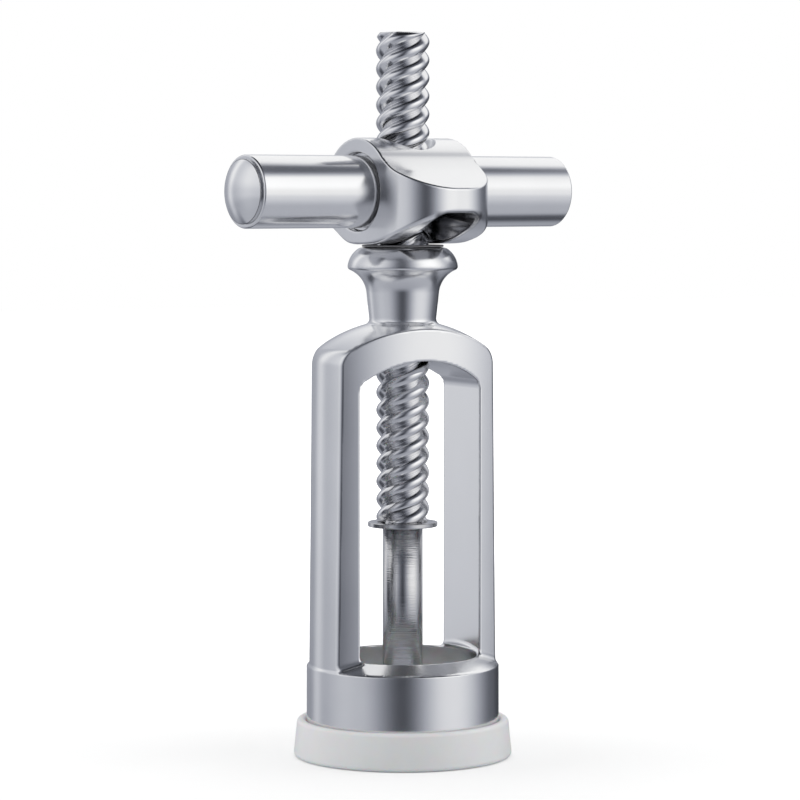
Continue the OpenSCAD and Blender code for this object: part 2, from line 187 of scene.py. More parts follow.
class Finishes(bpy.types.PropertyGroup):
    """Colours of the metals and plastics, and of the painted shade in the channel under the hub."""
    satin: colour("Satin metal", "Colour of the frame and the handle", (0.83, 0.832, 0.838))
    # Painted shade: a dark colour that stands in for the shade in the channel under the hub.
    channel_shade: colour("Painted channel shade", "Colour of the channel under the hub", (0.2, 0.2, 0.21))
    polished: colour("Polished steel", "Colour of the spindle and the worm", (0.78, 0.78, 0.79))
    steel: colour("Plain steel", "Colour of the nut and the studs", (0.5, 0.5, 0.51))
    frosted: colour("Frosted plastic", "Colour of the seat collar", (0.79, 0.8, 0.81))
    # Partly painted shade: the washer is kept dark so that it also stands in for the shade in the gap under
    # the hub.
    washer: colour("Washer plastic", "Colour of the thrust washer", (0.2, 0.2, 0.21))
    satin_rough: share("Satin roughness", "Roughness of the satin metal", 0.2)
    polished_rough: share("Polished roughness", "Roughness of the polished steel", 0.13)


class Studio(bpy.types.PropertyGroup):
    """The camera and the light."""
    azimuth: angle("Azimuth", "Camera's turn round the part", -28)
    distance: size("Distance", "Camera's distance from the spindle", 848)
    aim: size("Aim", "Height on the spindle that the camera looks at", 92)
    aside: size("Aside", "How far the camera looks to the left of the spindle", 0.7)
    lens: number("Lens", "Focal length", 148.5, min=1, unit="CAMERA")
    key: power("Key", "Power of the overhead lamp", 11)
    fill: power("Fill", "Power of each lamp at the sides", 2.5)
    ambient: share("Ambient", "Level of the light from all round", 0.45)


def settings():
    """The sizes and colours of the open scene."""
    return bpy.context.scene


# Mesh tools

def link(name, mesh, material):
    """Puts a mesh into the scene as a piece."""
    piece = bpy.data.objects.new(name, mesh)
    bpy.context.scene.collection.objects.link(piece)
    mesh.materials.clear()
    mesh.materials.append(material)
    return piece


def fit(name, mesh, material, body, node):
    """Adds a piece that stands for a CAD node and moves with its body."""
    piece = link(name, mesh, material)
    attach(piece, body)
    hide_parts(node)


def round_meet(a, b, r):
    """What two forms share, with its edge rounded."""
    return np.minimum(-r, np.maximum(a, b)) + np.hypot(np.maximum(a + r, 0), np.maximum(b + r, 0))


def round_join(a, b, r):
    """Two forms together, with a fillet between them."""
    return -round_meet(-a, -b, r)


# Step for a form's slope, the least square of a slope to divide by, how far each round evens the mesh, and
# how often it then presses it onto the form
SLOPE_STEP = 0.0001 * MM
LEAST_SLOPE = 0.3
SETTLING = (0.5, 0.5, 0.5, 0.3, 0, 0)
PRESSES = 2


def slope_of(form, points):
    """Direction in which a form's value grows, at each point."""
    sides = np.eye(3) * SLOPE_STEP
    return np.stack([form(points + s) - form(points - s) for s in sides], axis=1) / (2 * SLOPE_STEP)


def moulded(node, form, voxel):
    """Mesh of a CAD node with its edges rounded: an even mesh of the solid, pressed onto the form."""
    source = bpy.data.objects.new(node + "_source", joined_copy(node))
    bpy.context.scene.collection.objects.link(source)
    remesh = source.modifiers.new("even", "REMESH")
    remesh.mode = "VOXEL"
    remesh.voxel_size = voxel
    graph = bpy.context.evaluated_depsgraph_get()
    mesh = bpy.data.meshes.new_from_object(source.evaluated_get(graph))
    bpy.data.objects.remove(source)
    count = len(mesh.vertices)
    points = np.empty(count * 3)
    mesh.vertices.foreach_get("co", points)
    points = points.reshape(-1, 3)
    edges = np.empty(len(mesh.edges) * 2, dtype=np.int64)
    mesh.edges.foreach_get("vertices", edges)
    a, b = edges.reshape(-1, 2).T
    degree = np.bincount(np.concatenate([a, b]), minlength=count)[:, None]
    for settle in SETTLING:
        mean = np.stack([
            np.bincount(a, points[b, k], count) + np.bincount(b, points[a, k], count) for k in range(3)
        ], axis=1) / degree
        points += settle * (mean - points)
        for _ in range(PRESSES):
            slope = slope_of(form, points)
            steep = np.maximum((slope ** 2).sum(axis=1), LEAST_SLOPE)
            step = (form(points) / steep)[:, None] * slope
            points -= np.clip(step, -voxel, voxel)
    slope = slope_of(form, points)
    mesh.vertices.foreach_set("co", points.ravel())
    mesh.update()
    mesh.shade_smooth()
    mesh.normals_split_custom_set_from_vertices(slope / np.linalg.norm(slope, axis=1)[:, None])
    return mesh


def joined_copy(node):
    """Copy of a CAD node's mesh with its loose triangles joined."""
    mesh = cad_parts[node].data.copy()
    work = bmesh.new()
    work.from_mesh(mesh)
    bmesh.ops.remove_doubles(work, verts=work.verts, dist=JOIN_GAP)
    work.to_mesh(mesh)
    work.free()
    return mesh


def outline(corners, closed):
    """Points and outward normals of an outline.

    Its corners are (radius, height, rounding), with the metal on the left.
    """
    count = len(corners)
    found = []
    for i, (r, z, rounding) in enumerate(corners):
        here = Vector((r, z))
        before = Vector(corners[i - 1][:2]) if closed or i else None
        after = Vector(corners[(i + 1) % count][:2]) if closed or i < count - 1 else None
        into = (here - before).normalized() if before else None
        out = (after - here).normalized() if after else None
        into, out = into or out, out or into
        turn = atan2(into.x * out.y - into.y * out.x, into.dot(out))
        first = atan2(-into.x, into.y)
        reach = rounding * abs(tan(turn / 2))
        steps = max(1, round(abs(turn) / ARC_STEP)) if rounding else 0
        side = 1 if turn > 0 else -1
        start = here - into * reach
        centre = start - side * rounding * Vector((cos(first), sin(first)))
        if not steps:
            middle = first + turn / 2
            found.append((r, z, cos(middle), sin(middle)))
        for k in range(steps + 1 if steps else 0):
            a = first + turn * k / steps
            normal = Vector((cos(a), sin(a)))
            found.append((*(centre + side * rounding * normal), *normal))
    return found


def turned(corners, place=Matrix.Identity(4), closed=True):
    """Mesh of a piece turned on a lathe, set in its place."""
    points, normals, rows = [], [], []
    for r, z, across, along in outline(corners, closed):
        ring = SEGMENTS if r else 1
        rows.append([len(points) + j % ring for j in range(SEGMENTS + 1)])
        for j in range(ring):
            a = 2 * pi * j / SEGMENTS
            points.append(place @ Vector((r * cos(a), r * sin(a), z)))
            normals.append(place.to_3x3() @ Vector((across * cos(a), across * sin(a), along)))
    faces = []
    for low, high in zip(rows, rows[1:] + rows[:1] if closed else rows[1:]):
        for j in range(SEGMENTS):
            face = list(dict.fromkeys([low[j], low[j + 1], high[j + 1], high[j]]))
            if len(face) > 2:
                faces.append(face)
    mesh = bpy.data.meshes.new("turned")
    mesh.from_pydata(points, [], faces)
    mesh.update()
    mesh.shade_smooth()
    mesh.normals_split_custom_set_from_vertices([n.normalized() for n in normals])
    return mesh


def ring_mesh(hole, low, high, soft):
    """Mesh of a flat ring that fills a box round the spindle."""
    return turned([(hole, low.z, soft), (high.x, low.z, soft), (high.x, high.z, soft), (hole, high.z, soft)])


# Node tools

def feed(tree, node, values):
    """Links or sets a node's inputs."""
    for key, value in dict(values).items():
        if isinstance(value, bpy.types.NodeSocket):
            tree.links.new(value, node.inputs[key])
        else:
            node.inputs[key].default_value = value


def put(tree, kind, values=(), **traits):
    """Adds a node with its traits and inputs."""
    node = tree.nodes.new(kind)
    for name, value in traits.items():
        setattr(node, name, value)
    feed(tree, node, values)
    return node


def maths(tree, operation, a, b=0.0, c=0.0):
    """Output of a Math node."""
    return put(tree, "ShaderNodeMath", {0: a, 1: b, 2: c}, operation=operation).outputs[0]


def ramp(tree, value, start, end, low=0.0, high=1.0):
    """Output that goes from low to high while a value goes from start to end."""
    return put(tree, "ShaderNodeMapRange", {0: value, 1: start, 2: end, 3: low, 4: high}).outputs[0]


def place_in(tree):
    """Place of a point on its object."""
    return put(tree, "ShaderNodeTexCoord").outputs["Object"]


def sockets(kind, *names):
    """Sockets of one kind, without default values."""
    return [(name, kind, None) for name in names]


def new_tree(name, kind, inputs, outputs):
    """A node group with named sockets. Returns it with its input and output nodes."""
    tree = bpy.data.node_groups.new(name, kind)
    for label, socket, value in inputs:
        made = tree.interface.new_socket(label, in_out="INPUT", socket_type="NodeSocket" + socket)
        if value is not None:
            made.default_value = value
    for label, socket in outputs:
        tree.interface.new_socket(label, in_out="OUTPUT", socket_type="NodeSocket" + socket)
    return tree, tree.nodes.new("NodeGroupInput").outputs, tree.nodes.new("NodeGroupOutput").inputs


def end_tree(tree, shape, material, result):
    """Ends a geometry tree with a real mesh in its material."""
    real = put(tree, "GeometryNodeRealizeInstances", {0: shape})
    painted = put(tree, "GeometryNodeSetMaterial", {0: real.outputs[0], "Material": material})
    tree.links.new(painted.outputs[0], result["Geometry"])


def grown(name, tree, values, material):
    """Plain mesh that a geometry tree makes with these input values."""
    holder = bpy.data.objects.new(name + "_holder", bpy.data.meshes.new(name))
    bpy.context.scene.collection.objects.link(holder)
    modifier = holder.modifiers.new("grow", "NODES")
    modifier.node_group = tree
    for item in tree.interface.items_tree:
        if item.in_out == "INPUT" and item.name in values:
            modifier[item.identifier] = values[item.name]
        elif item.in_out == "INPUT" and item.name == "Material":
            modifier[item.identifier] = material
    graph = bpy.context.evaluated_depsgraph_get()
    mesh = bpy.data.meshes.new_from_object(holder.evaluated_get(graph))
    holder.modifiers.remove(modifier)
    bpy.data.objects.remove(holder)
    if not mesh.polygons:
        raise RuntimeError(name + ": the geometry tree made no faces")
    return mesh


# Surface effects

def grain_group():
    """Fine blasted grain with broad, faint clouds of handling."""
    tree, given, result = new_tree(
        "Blasted grain", "ShaderNodeTree",
        [("Grain scale", "Float", 2600.0), ("Cloud scale", "Float", 55.0)],
        [("Grain", "Float"), ("Cloud", "Float")],
    )
    where = place_in(tree)
    fine = put(tree, "ShaderNodeTexNoise", {"Vector": where, "Scale": given["Grain scale"], "Detail": 3.0})
    broad = put(tree, "ShaderNodeTexNoise", {"Vector": where, "Scale": given["Cloud scale"], "Detail": 4.0})
    tree.links.new(fine.outputs["Fac"], result["Grain"])
    tree.links.new(broad.outputs["Fac"], result["Cloud"])
    return tree


def marks_group():
    """Fine rings that a lathe leaves round an axis."""
    tree, given, result = new_tree(
        "Turning marks", "ShaderNodeTree",
        [("Axis", "Vector", (0, 0, 1)), ("Scale", "Float", 3500.0)],
        [("Marks", "Float")],
    )
    where = place_in(tree)
    along = put(tree, "ShaderNodeVectorMath", {0: where, 1: given["Axis"]}, operation="DOT_PRODUCT")
    rings = put(tree, "ShaderNodeTexNoise", {
        "W": along.outputs["Value"], "Scale": given["Scale"], "Detail": 2.0,
    }, noise_dimensions="1D")
    tree.links.new(rings.outputs["Fac"], result["Marks"])
    return tree


def group(tree, name, maker, values=()):
    """Outputs of a shared effect placed in a material. The effect is made the first time."""
    effect = bpy.data.node_groups.get(name) or maker()
    return put(tree, "ShaderNodeGroup", values, node_tree=effect).outputs


def spread(tree, value, low, high):
    """Maps the middle of a noise to a range."""
    return ramp(tree, value, 0.3, 0.7, low, high)


def mixed(tree, factor, first, second):
    """Mixes two colours."""
    return put(tree, "ShaderNodeMix", {0: factor, 6: first, 7: second}, data_type="RGBA").outputs[2]


def toned(tree, value, base, swing):
    """A colour that a noise makes a little darker and lighter."""
    dark = [c * (1 - swing) for c in base]
    light = [min(1, c * (1 + swing)) for c in base]
    return mixed(tree, spread(tree, value, 0.0, 1.0), (*dark, 1), (*light, 1))


def surface(name):
    """A new material. Returns it with its tree and its shader."""
    material = bpy.data.materials.new(name)
    material.use_nodes = True
    return material, material.node_tree, material.node_tree.nodes["Principled BSDF"]


def bump(tree, height, strength, distance):
    """Normal of a bumped surface."""
    values = {"Height": height, "Strength": strength, "Distance": distance}
    return put(tree, "ShaderNodeBump", values).outputs[0]


def in_channel(tree):
    """Mask for the painted shade in the channel under the hub: one inside the channel, and nought outside it.
    """
    s = settings().corkscrew_handle
    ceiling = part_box("handle_hub")[0].z + s.channel_height
    where = place_in(tree)
    along = put(tree, "ShaderNodeMapping", {"Vector": where, "Rotation": (0, 0, -s.yaw)}).outputs[0]
    part = put(tree, "ShaderNodeSeparateXYZ", {0: along}).outputs
    half = s.channel / 2
    beside = maths(tree, "ABSOLUTE", part["X"])
    between = ramp(tree, beside, half - s.rim, half + s.rim / 2, 1.0, 0.0)
    below = ramp(tree, part["Z"], ceiling - s.rim, ceiling + s.rim, 1.0, 0.0)
    return maths(tree, "MULTIPLY", between, below)


def satin_metal(name, channel=False):
    """Plated metal with a fine blasted grain, with painted shade darkening the channel under the hub."""
    look = settings().corkscrew_finishes
    material, tree, shader = surface(name)
    grain = group(tree, "Blasted grain", grain_group)
    base = toned(tree, grain["Cloud"], look.satin, swing=0.03)
    if channel:
        # Painted shade: the base colour turns dark inside the channel under the hub, where shade falls in the
        # recess.
        base = mixed(tree, in_channel(tree), base, (*look.channel_shade, 1))
    feed(tree, shader, {
        "Metallic": 1.0,
        "Base Color": base,
        "Roughness": spread(tree, grain["Cloud"], look.satin_rough * 0.9, look.satin_rough * 1.1),
        "Normal": bump(tree, grain["Grain"], strength=0.06, distance=0.05 * MM),
    })
    return material


# Roughness of the grips against that of the castings, and depth of their turning marks against the grain
GRIP_ROUGH = 0.8
GRIP_MARKS = 0.5


def satin_grip(axis):
    """The same plating on a turned bar, with faint marks round it."""
    look = settings().corkscrew_finishes
    material, tree, shader = surface("grip_metal")
    grain = group(tree, "Blasted grain", grain_group)
    marks = group(tree, "Turning marks", marks_group, {"Axis": axis, "Scale": 2200.0})
    rough = look.satin_rough * GRIP_ROUGH
    both = maths(tree, "MULTIPLY_ADD", marks["Marks"], GRIP_MARKS, grain["Grain"])
    feed(tree, shader, {
        "Metallic": 1.0,
        "Base Color": toned(tree, grain["Cloud"], look.satin, swing=0.03),
        "Roughness": spread(tree, grain["Cloud"], rough * 0.9, rough * 1.15),
        "Normal": bump(tree, both, strength=0.05, distance=0.05 * MM),
    })
    return material


# How much darker the shank is than the thread, and the depth of the turning marks on shank and thread
SHANK_SHADE = 0.2
SHANK_MARKS = 1.6
POLISHED_MARKS = 0.05


def bright_steel(name, base, rough, turned_below=0.0):
    """Turned steel, polished or left plain, darker and with stronger marks below a height."""
    material, tree, shader = surface(name)
    grain = group(tree, "Blasted grain", grain_group, {"Cloud scale": 120.0})
    marks = group(tree, "Turning marks", marks_group)["Marks"]
    where = place_in(tree)
    height = put(tree, "ShaderNodeSeparateXYZ", {0: where}).outputs["Z"]
    plain = maths(tree, "LESS_THAN", height, turned_below)
    shade = maths(tree, "MULTIPLY_ADD", plain, -SHANK_SHADE, 1.0)
    tone = toned(tree, grain["Cloud"], base, swing=0.05)
    shaded = put(tree, "ShaderNodeVectorMath", {0: tone, "Scale": shade}, operation="SCALE")
    depth = maths(tree, "MULTIPLY_ADD", plain, SHANK_MARKS, POLISHED_MARKS)
    rings = maths(tree, "MULTIPLY", marks, depth)
    feed(tree, shader, {
        "Metallic": 1.0,
        "Base Color": shaded.outputs[0],
        "Roughness": spread(tree, marks, rough * 0.8, rough * 1.3),
        "Normal": bump(tree, rings, strength=1.0, distance=0.03 * MM),
    })
    return material


def polished_steel():
    """Polished steel of the spindle, the stop washer and the worm."""
    look = settings().corkscrew_finishes
    thread_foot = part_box("spindle")[1].z - settings().corkscrew_spindle.thread
    return bright_steel("spindle_steel", look.polished, look.polished_rough, thread_foot)


def plain_steel():
    """Turned steel of the nut and the studs."""
    return bright_steel("fitting_steel", settings().corkscrew_finishes.steel, rough=0.3)


def frosted_plastic():
    """Translucent moulded plastic with a frosted skin."""
    look = settings().corkscrew_finishes
    material, tree, shader = surface("collar_plastic")
    grain = group(tree, "Blasted grain", grain_group, {"Grain scale": 1500.0, "Cloud scale": 90.0})
    feed(tree, shader, {
        "IOR": 1.49,
        "Subsurface Weight": 0.35,
        "Subsurface Scale": 4 * MM,
        "Base Color": toned(tree, grain["Cloud"], look.frosted, swing=0.02),
        "Roughness": spread(tree, grain["Cloud"], low=0.36, high=0.48),
        "Normal": bump(tree, grain["Grain"], strength=0.12, distance=0.08 * MM),
    })
    return material


def washer_plastic():
    """Plain dark plastic of the thrust washer; its dark colour is partly painted shade for the gap under the
    hub.
    """
    look = settings().corkscrew_finishes
    material, tree, shader = surface("ring_plastic")
    grain = group(tree, "Blasted grain", grain_group, {"Cloud scale": 200.0})
    feed(tree, shader, {
        "Base Color": toned(tree, grain["Cloud"], look.washer, swing=0.04),
        "Roughness": spread(tree, grain["Cloud"], low=0.45, high=0.6),
    })
    return material


# Frame

def neck_form(r, z, s, foot, top):
    """Neck, hollow flare and rounded lip."""
    lean, rise = sin(s.neck_rake), cos(s.neck_rake)
    lip_z = foot + s.neck_height
    flare_z = foot + s.neck_straight
    neck_top = s.neck_foot + s.neck_straight * lean / rise
    out, up = s.lip - neck_top, lip_z - flare_z
    flare = (out ** 2 + up ** 2) / (2 * (out * rise - up * lean))
    straight = (r - s.neck_foot) * rise - (z - foot) * lean
    hollow = flare - np.hypot(r - neck_top - flare * rise, z - flare_z + flare * lean)
    below = (r - neck_top) * lean + (z - flare_z) * rise < 0
    lip = np.hypot(np.maximum(r - s.lip + s.lip_round, 0), np.maximum(z - lip_z, 0)) - s.lip_round
    neck = round_meet(np.where(below, straight, hollow), lip, s.lip_edge)
    return np.maximum(round_meet(neck, z - top, s.edge), foot - s.crown / 2 - z)


def frame_form(points):
    """The frame's solid, negative inside."""
    s = settings().corkscrew_frame
    low, high = (np.array(c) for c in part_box("frame"))
    x, y, z = points.T
    r = np.hypot(x, y)
    dome_z = s.shoulder - sqrt(s.dome ** 2 - s.body_top ** 2)
    neck_z = dome_z + sqrt(s.dome ** 2 - s.neck_foot ** 2)
    arch_z = dome_z + s.dome - s.crown - s.arch
    ledge_top = s.ledge + s.ledge_rise
    body_r = s.body_foot + (s.body_top - s.body_foot) * (z - s.ledge) / (s.shoulder - s.ledge)
    dome = np.hypot(r, np.maximum(z - dome_z, 0)) - s.dome
    body = round_meet(r - body_r, dome, s.shoulder_round)
    ring = round_meet(r - high[0], z - s.ledge, s.edge)
    solid = round_join(body, ring, s.edge)
    arch = np.hypot(x, np.maximum(z - arch_z, 0)) - s.arch
    window = round_meet(np.abs(x) - s.window / 2, arch, s.arch_corner)
    slope = atan2(s.ledge_rise, s.body_foot - s.bore)
    cone = (ledge_top - (r - s.bore) * tan(slope) - z) * cos(slope)
    ledge = np.maximum(cone, s.ledge - z)
    face = s.face - np.hypot(x, np.abs(y) + s.face - s.depth / 2)
    cut = round_meet(round_join(face, window, s.edge), ledge, s.corner)
    solid = round_meet(solid, -cut, s.edge)
    solid = round_join(solid, neck_form(r, z, s, neck_z, high[2]), s.neck_fillet)
    bore = np.maximum(r - s.bore, z - ledge_top)
    solid = round_meet(solid, -bore, s.edge)
    hole = settings().corkscrew_handle.through
    solid = round_meet(solid, hole - r, s.edge)
    return round_meet(solid, low[2] - z, s.edge)


class CORKSCREW_OT_frame(bpy.types.Operator):
    """Makes the cast frame with its rounded edges"""
    bl_idname = "corkscrew.frame"
    bl_label = "Frame"

    def execute(self, context):
        mesh = moulded("frame", frame_form, context.scene.corkscrew_frame.voxel)
        fit("frame_casting", mesh, satin_metal("frame_metal"), "frame", "frame")
        return {"FINISHED"}


class CORKSCREW_OT_collar(bpy.types.Operator):
    """Makes the frosted seat collar and the thrust washer"""
    bl_idname = "corkscrew.collar"
    bl_label = "Collar and washer"

    def execute(self, context):
        s = context.scene.corkscrew_collar
        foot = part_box("base_collar")[1].x
        sleeve_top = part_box("base_collar")[1].z
        rim_top = s.floor + s.rim_rise
        corners = [
            (s.bore + s.lead_in, 0, s.fine), (foot, 0, s.soft),
            (s.top, rim_top, s.soft), (s.rim, rim_top, s.soft),
            (s.rim, s.floor, s.fine), (s.sleeve, s.floor, s.fine),
            (s.sleeve, sleeve_top, s.fine), (s.bore, sleeve_top, s.fine), (s.bore, s.lead_in, s.fine),
        ]
        fit("seat_collar", turned(corners), frosted_plastic(), "frame", "base_collar")
        low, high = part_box("thrust_washer")
        hole = context.scene.corkscrew_handle.through
        mesh = ring_mesh(hole, low, high, s.thin)
        fit("thrust_ring", mesh, washer_plastic(), "washer", "thrust_washer")
        return {"FINISHED"}


# Spindle

def spindle_tree():
    """Geometry tree of a screw spindle: a multi-start thread on a plain shank."""
    tree, given, result = new_tree(
        "Screw spindle", "GeometryNodeTree",
        [
            *sockets("Float", "Foot", "Length", "Lead", "Crest", "Root", "Chamfer", "Shank", "Shank foot"),
            *sockets("Int", "Starts", "Points", "Rings"),
            *sockets("Material", "Material"),
        ],
        [("Geometry", "Geometry")],
    )
    bar = put(tree, "GeometryNodeMeshCylinder", {
        "Vertices": given["Points"], "Side Segments": given["Rings"], "Radius": 1.0, "Depth": given["Length"],
    })
    place = put(tree, "ShaderNodeSeparateXYZ", {0: put(tree, "GeometryNodeInputPosition").outputs[0]}).outputs
    height = maths(tree, "MULTIPLY_ADD", given["Length"], 0.5, place["Z"])
    around = maths(tree, "ARCTAN2", place["Y"], place["X"])
    lobes = maths(tree, "MULTIPLY", around, given["Starts"])
    lobe = maths(tree, "COSINE", maths(tree, "MULTIPLY", lobes, 0.5))
    depth = maths(tree, "SUBTRACT", given["Crest"], given["Root"])
    radius = maths(tree, "MULTIPLY_ADD", maths(tree, "ABSOLUTE", lobe), depth, given["Root"])
    to_top = maths(tree, "SUBTRACT", given["Length"], height)
    lost = maths(tree, "MAXIMUM", maths(tree, "SUBTRACT", given["Chamfer"], to_top), 0.0)
    radius = maths(tree, "MINIMUM", radius, maths(tree, "SUBTRACT", given["Crest"], lost))
    turn = maths(tree, "MULTIPLY_ADD", maths(tree, "DIVIDE", height, given["Lead"]), 2 * pi, around)
    spot = put(tree, "ShaderNodeCombineXYZ", {
        0: maths(tree, "MULTIPLY", radius, maths(tree, "COSINE", turn)),
        1: maths(tree, "MULTIPLY", radius, maths(tree, "SINE", turn)),
        2: maths(tree, "ADD", given["Foot"], height),
    })
    thread = put(tree, "GeometryNodeSetPosition", {
        "Geometry": bar.outputs["Mesh"], "Position": spot.outputs[0],
    })
    thread = put(tree, "GeometryNodeSetShadeSmooth", {0: thread.outputs[0], 1: bar.outputs["Side"]})
    length = maths(tree, "SUBTRACT", given["Foot"], given["Shank foot"])
    rod = put(tree, "GeometryNodeMeshCylinder", {
        "Vertices": given["Points"], "Radius": given["Shank"], "Depth": length,
    })
    middle = maths(tree, "MULTIPLY_ADD", length, 0.5, given["Shank foot"])
    move = put(tree, "ShaderNodeCombineXYZ", {2: middle})
    shank = put(tree, "GeometryNodeTransform", {
        "Geometry": rod.outputs["Mesh"], "Translation": move.outputs[0],
    })
    shank = put(tree, "GeometryNodeSetShadeSmooth", {0: shank.outputs[0], 1: rod.outputs["Side"]})
    both = put(tree, "GeometryNodeJoinGeometry")
    tree.links.new(thread.outputs[0], both.inputs[0])
    tree.links.new(shank.outputs[0], both.inputs[0])
    end_tree(tree, both.outputs[0], given["Material"], result)
    return tree


# Share of the wire's section that is left at the worm's point
TIP_SHARE = 0.006


def worm_tree():
    """Geometry tree of a worm: a wire helix drawn down to a point, with a straight stem."""
    tree, given, result = new_tree(
        "Worm", "GeometryNodeTree",
        [
            *sockets("Float", "Top", "Length", "Stem", "Helix", "Pitch", "Wire"),
            *sockets("Int", "Points"),
            *sockets("Material", "Material"),
        ],
        [("Geometry", "Geometry")],
    )
    line = put(tree, "GeometryNodeCurvePrimitiveLine")
    path = put(tree, "GeometryNodeResampleCurve", {"Curve": line.outputs[0], "Count": given["Points"]})
    run = put(tree, "GeometryNodeSplineParameter").outputs["Factor"]
    whole = maths(tree, "ADD", given["Length"], given["Stem"])
    depth = maths(tree, "SUBTRACT", maths(tree, "MULTIPLY", run, whole), given["Stem"])
    half = maths(tree, "MULTIPLY", given["Pitch"], 0.5)
    swell = put(tree, "ShaderNodeMapRange", {
        0: depth, 1: 0.0, 2: half, 3: 0.0, 4: given["Helix"],
    }, interpolation_type="SMOOTHSTEP")
    around = maths(tree, "MULTIPLY", maths(tree, "DIVIDE", depth, given["Pitch"]), -2 * pi)
    spot = put(tree, "ShaderNodeCombineXYZ", {
        0: maths(tree, "MULTIPLY", swell.outputs[0], maths(tree, "COSINE", around)),
        1: maths(tree, "MULTIPLY", swell.outputs[0], maths(tree, "SINE", around)),
        2: maths(tree, "SUBTRACT", given["Top"], depth),
    })
    helix = put(tree, "GeometryNodeSetPosition", {"Geometry": path.outputs[0], "Position": spot.outputs[0]})
    left = maths(tree, "DIVIDE", maths(tree, "SUBTRACT", given["Length"], depth), half)
    thin = maths(tree, "SQRT", maths(tree, "MINIMUM", maths(tree, "MAXIMUM", left, TIP_SHARE), 1.0))
    sized = put(tree, "GeometryNodeSetCurveRadius", {"Curve": helix.outputs[0], "Radius": thin})
    section = put(tree, "GeometryNodeCurvePrimitiveCircle", {"Resolution": 24, "Radius": given["Wire"]})
    body = put(tree, "GeometryNodeCurveToMesh", {
        "Curve": sized.outputs[0], "Profile Curve": section.outputs[0], "Fill Caps": True,
    })
    smooth = put(tree, "GeometryNodeSetShadeSmooth", {0: body.outputs[0]})
    end_tree(tree, smooth.outputs[0], given["Material"], result)
    return tree


class CORKSCREW_OT_spindle(bpy.types.Operator):
    """Makes the screw spindle with its washer and worm"""
    bl_idname = "corkscrew.spindle"
    bl_label = "Spindle"

    def execute(self, context):
        s = context.scene.corkscrew_spindle
        low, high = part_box("spindle")
        foot = high.z - s.thread
        metal = polished_steel()
        mesh = grown("spindle", spindle_tree(), {
            "Foot": foot, "Length": s.thread, "Lead": s.lead, "Starts": s.starts,
            "Crest": s.crest, "Root": s.root, "Chamfer": s.chamfer,
            "Shank": s.shank, "Shank foot": low.z, "Points": 96, "Rings": 240,
        }, metal)
        fit("screw_spindle", mesh, metal, "spindle", "spindle")
        mesh = grown("worm", worm_tree(), {
            "Top": low.z, "Length": s.worm, "Stem": s.stem,
            "Helix": s.helix, "Pitch": s.pitch, "Wire": s.wire, "Points": 200,
        }, metal)
        fit("worm_wire", mesh, metal, "spindle", "worm")
        low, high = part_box("stop_washer")
        hole = s.shank + PRESS_GAP
        mesh = ring_mesh(hole, low, high, context.scene.corkscrew_collar.fine)
        fit("stop_ring", mesh, metal, "spindle", "stop_washer")
        return {"FINISHED"}


# Handle

def handle_height():
    """Height of the handle's middle line."""
    low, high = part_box("left_grip")
    return (low.z + high.z) / 2


def handle_axis():
    """Direction of the handle at rest, towards its right end."""
    yaw = settings().corkscrew_handle.yaw
    return Vector((cos(yaw), sin(yaw), 0))


def hub_top(v, w, s):
    """Barrel with a sloping roof down either side of it."""
    side = np.abs(v)
    roof = side * sin(s.slope) + (w - s.ridge) * cos(s.slope)
    flank = side * sin(s.flank) + w * cos(s.flank)
    barrel = np.where(np.arctan2(side, w) > s.flank, flank, np.hypot(v, w)) - s.barrel
    return round_join(barrel, roof, s.blend)


def hub_underside(v, w, s):
    """Barrel with a sloping face under the back, and a bowed hood at the front."""
    under = v * sin(s.back_slope) - (w + s.back) * cos(s.back_slope)
    back = round_join(np.hypot(v, w) - s.barrel, under, s.blend)
    hood = np.hypot(v, w - s.belly + s.barrel) - s.belly
    return np.where(v > 0, back, hood)


def hub_plan(u, v, s):
    """Plan of the hub: an oblong with wide, round corners."""
    along = np.abs(u) - s.length / 2 + s.cheek
    across = np.abs(v) - s.reach + s.cheek
    corner = np.hypot(np.maximum(along, 0), np.maximum(across, 0))
    return corner + np.minimum(np.maximum(along, across), 0) - s.cheek


def hub_form(points):
    """The hub's solid, negative inside."""
    s = settings().corkscrew_handle
    axis = handle_axis()
    u = points[:, 0] * axis.x + points[:, 1] * axis.y
    v = points[:, 1] * axis.x - points[:, 0] * axis.y
    w = points[:, 2] - handle_height()
    drop = handle_height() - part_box("handle_hub")[0].z
    across = np.hypot(u, v)
    body = round_meet(hub_top(v, w, s), hub_plan(u, v, s), s.crease)
    body = round_meet(body, hub_underside(v, w, s), s.keel)
    body = round_meet(body, -w - drop, s.rim)
    beside = np.abs(u) - s.channel / 2 + s.channel_round
    above = w + drop - s.channel_height + s.channel_round
    channel = np.hypot(np.maximum(beside, 0), np.maximum(above, 0)) - s.channel_round
    channel += np.minimum(np.maximum(beside, above), 0)
    body = round_meet(body, -channel, s.rim)
    nut = np.maximum(across - s.nut, s.nut_foot - drop - w)
    body = round_meet(body, -nut, s.crease)
    socket = np.maximum(np.hypot(v, w) - s.socket, s.length / 2 - s.socket_depth - np.abs(u))
    body = round_meet(body, -socket, s.crease)
    body = np.maximum(body, s.through - across)
    return np.maximum(body, s.stud - np.hypot(v, w))


class CORKSCREW_OT_hub(bpy.types.Operator):
    """Makes the hub casting with its rounded corners"""
    bl_idname = "corkscrew.hub"
    bl_label = "Hub"

    def execute(self, context):
        mesh = moulded("handle_hub", hub_form, context.scene.corkscrew_handle.voxel)
        # The hub's metal carries painted shade in the channel under the hub.
        metal = satin_metal("hub_metal", channel=True)
        fit("hub_casting", mesh, metal, "handle", "handle_hub")
        return {"FINISHED"}


# How far a cap goes into its grip, the roundings from its foot outwards, and the steps of its dome
CAP_DEPTH = 1 * MM
CAP_EDGES = (0.1 * MM, 0.05 * MM, 0.15 * MM)
DOME_STEPS = 24


